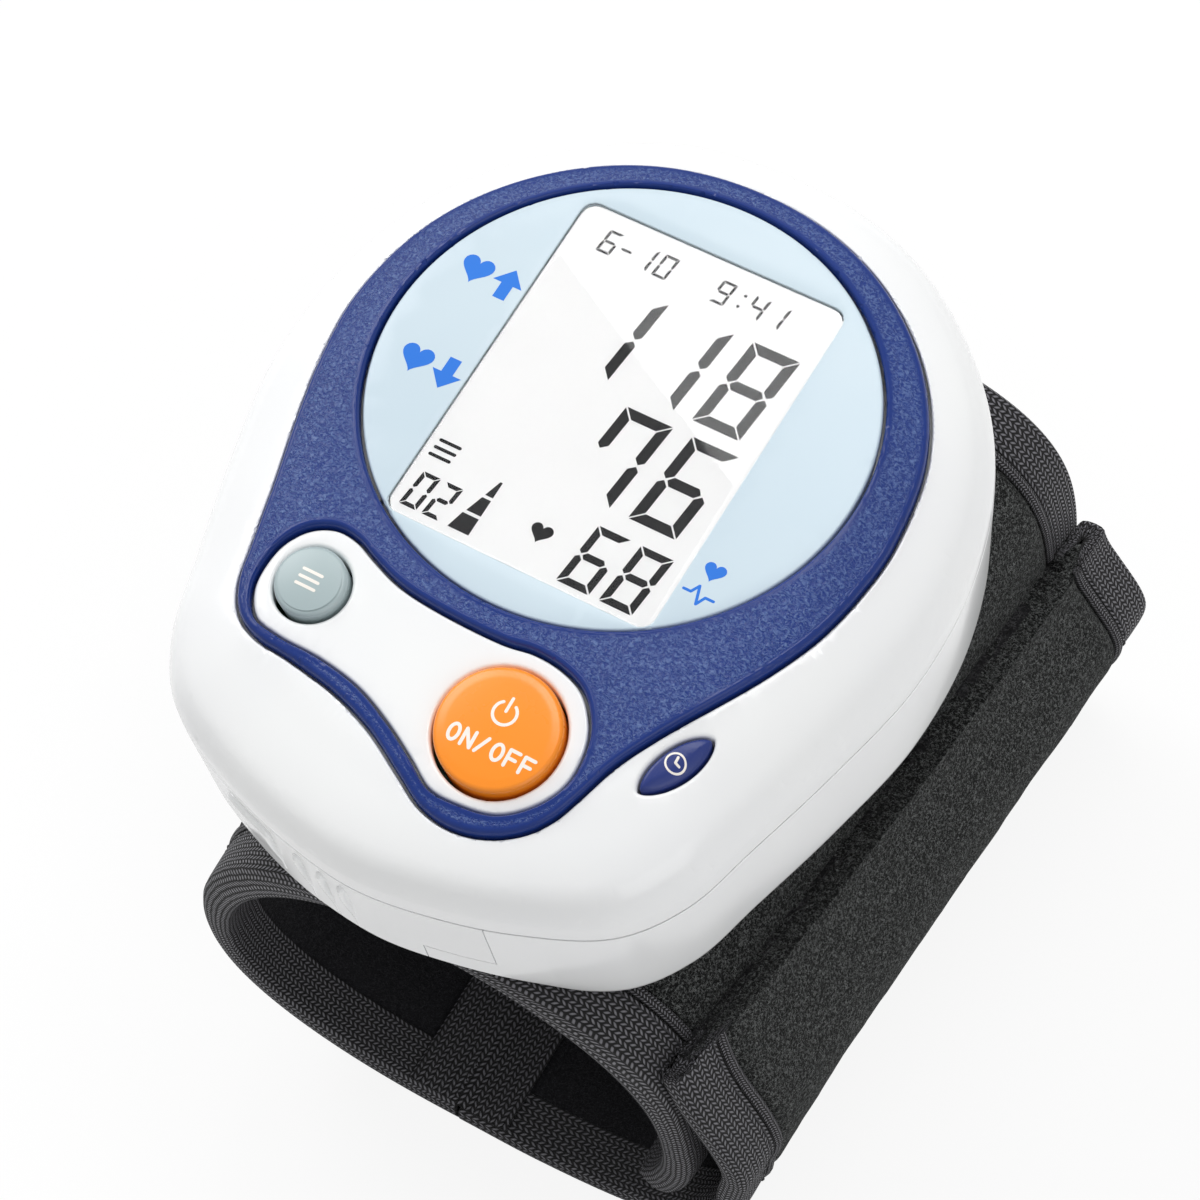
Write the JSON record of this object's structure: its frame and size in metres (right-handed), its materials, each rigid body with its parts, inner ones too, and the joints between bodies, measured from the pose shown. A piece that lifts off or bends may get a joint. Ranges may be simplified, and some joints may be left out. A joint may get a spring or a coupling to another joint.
{
  "type": "wrist blood pressure monitor",
  "caption": "Wrist blood pressure monitor: a rounded display housing with a raised bezel and keys on a fabric cuff with an inflatable bladder and a wrap-over strap.",
  "frame": {"origin": "on the axis of the wrist's opening, under the middle of the display", "axes": "+X to the display's right, +Y along the wrist to the hand, +Z out of the display's face"},
  "size_m": [0.0807, 0.0888, 0.0817],
  "materials": {
    "white_shell": "satin white",
    "blue_bezel": "fine grained blue",
    "pale_panel": "glossy pale blue",
    "clear_lens": "clear, glossy",
    "screen": "grey white with dark segments",
    "screen_back": "white diffuser",
    "grey_rubber": "striped contact rubber",
    "green_board": "solder resist",
    "orange_key": "satin orange",
    "grey_key": "satin grey",
    "blue_key": "satin blue",
    "steel": "bright",
    "black_plastic": "moulded black",
    "cell_jacket": "plain dark jacket",
    "air_tube": "milky silicone",
    "bladder": "matt film",
    "stiffener": "curved sheet",
    "loop_fabric": "black brushed loop pile",
    "lining_fabric": "smooth black knit",
    "hook_tape": "black hooks",
    "woven_tape": "black woven binding"
  },
  "bodies": {
    "housing": {"front_shell": "white_shell", "rear_shell": "white_shell", "bezel": "blue_bezel", "face_panel": "pale_panel", "display_lens": "clear_lens", "display_frame": "screen_back", "display_glass": "screen", "display_reflector": "screen_back", "contact_strip": "grey_rubber", "main_board": "green_board", "start_switch": "steel", "memory_switch": "steel", "clock_switch": "steel", "battery_holder": "screen_back", "battery_outer": "cell_jacket", "battery_spring_outer": "steel", "battery_plate_outer": "steel", "battery_inner": "cell_jacket", "battery_spring_inner": "steel", "battery_plate_inner": "steel", "pump_motor": "steel", "pump_head": "black_plastic", "valve_body": "steel", "pressure_sensor": "black_plastic", "air_junction": "black_plastic", "air_nipple": "black_plastic", "air_tube_pump": "air_tube", "air_tube_sensor": "air_tube", "air_tube_valve": "air_tube", "buzzer": "black_plastic", "housing_screw_1": "steel", "housing_screw_2": "steel", "housing_screw_3": "steel", "housing_screw_4": "steel", "board_screw_1": "steel", "board_screw_2": "steel", "board_screw_3": "steel", "cuff_rivet_1": "steel", "cuff_rivet_2": "steel", "cuff_lining": "lining_fabric", "air_bladder": "bladder", "cuff_stiffener": "stiffener", "cuff_cover": "loop_fabric", "cuff_binding_arm": "woven_tape", "cuff_binding_hand": "woven_tape"},
    "start_key": {"start_button": "orange_key", "start_plunger": "black_plastic"},
    "memory_key": {"memory_button": "grey_key", "memory_plunger": "black_plastic"},
    "clock_key": {"clock_button": "blue_key", "clock_plunger": "black_plastic"},
    "battery_door": {"battery_cover": "white_shell"},
    "strap": {"strap_cover": "loop_fabric", "strap_lining": "lining_fabric", "hook_pad": "hook_tape", "strap_binding_arm": "woven_tape", "strap_binding_hand": "woven_tape"},
    "rotor": {"motor_rotor": "steel"},
    "valve_pin": {"valve_plunger": "steel"}
  },
  "joints": [
    {"name": "start_press", "type": "slide", "parent": "housing", "child": "start_key", "axis": [0, 0.1191, -0.9929], "range_m": [0, 0.0006], "stiffness_N_per_m": 600},
    {"name": "memory_press", "type": "slide", "parent": "housing", "child": "memory_key", "axis": [0, 0.1191, -0.9929], "range_m": [0, 0.0006], "stiffness_N_per_m": 600},
    {"name": "clock_press", "type": "slide", "parent": "housing", "child": "clock_key", "axis": [0, 0, -1], "range_m": [0, 0.0006], "stiffness_N_per_m": 600},
    {"name": "battery_door_slide", "type": "slide", "parent": "housing", "child": "battery_door", "axis": [0, -1, 0], "range_m": [0, 0.02]},
    {"name": "strap_peel", "type": "hinge", "parent": "housing", "child": "strap", "pos_m": [0, 0, -0.0287], "axis": [0, 1, 0], "range_deg": [0, 75]},
    {"name": "motor_spin", "type": "hinge", "parent": "housing", "child": "rotor", "pos_m": [-0.016, 0.008, 0.036], "axis": [1, 0, 0], "continuous": true},
    {"name": "valve_stroke", "type": "slide", "parent": "housing", "child": "valve_pin", "axis": [0, 1, 0], "range_m": [0, 0.0008], "stiffness_N_per_m": 200}
  ]
}
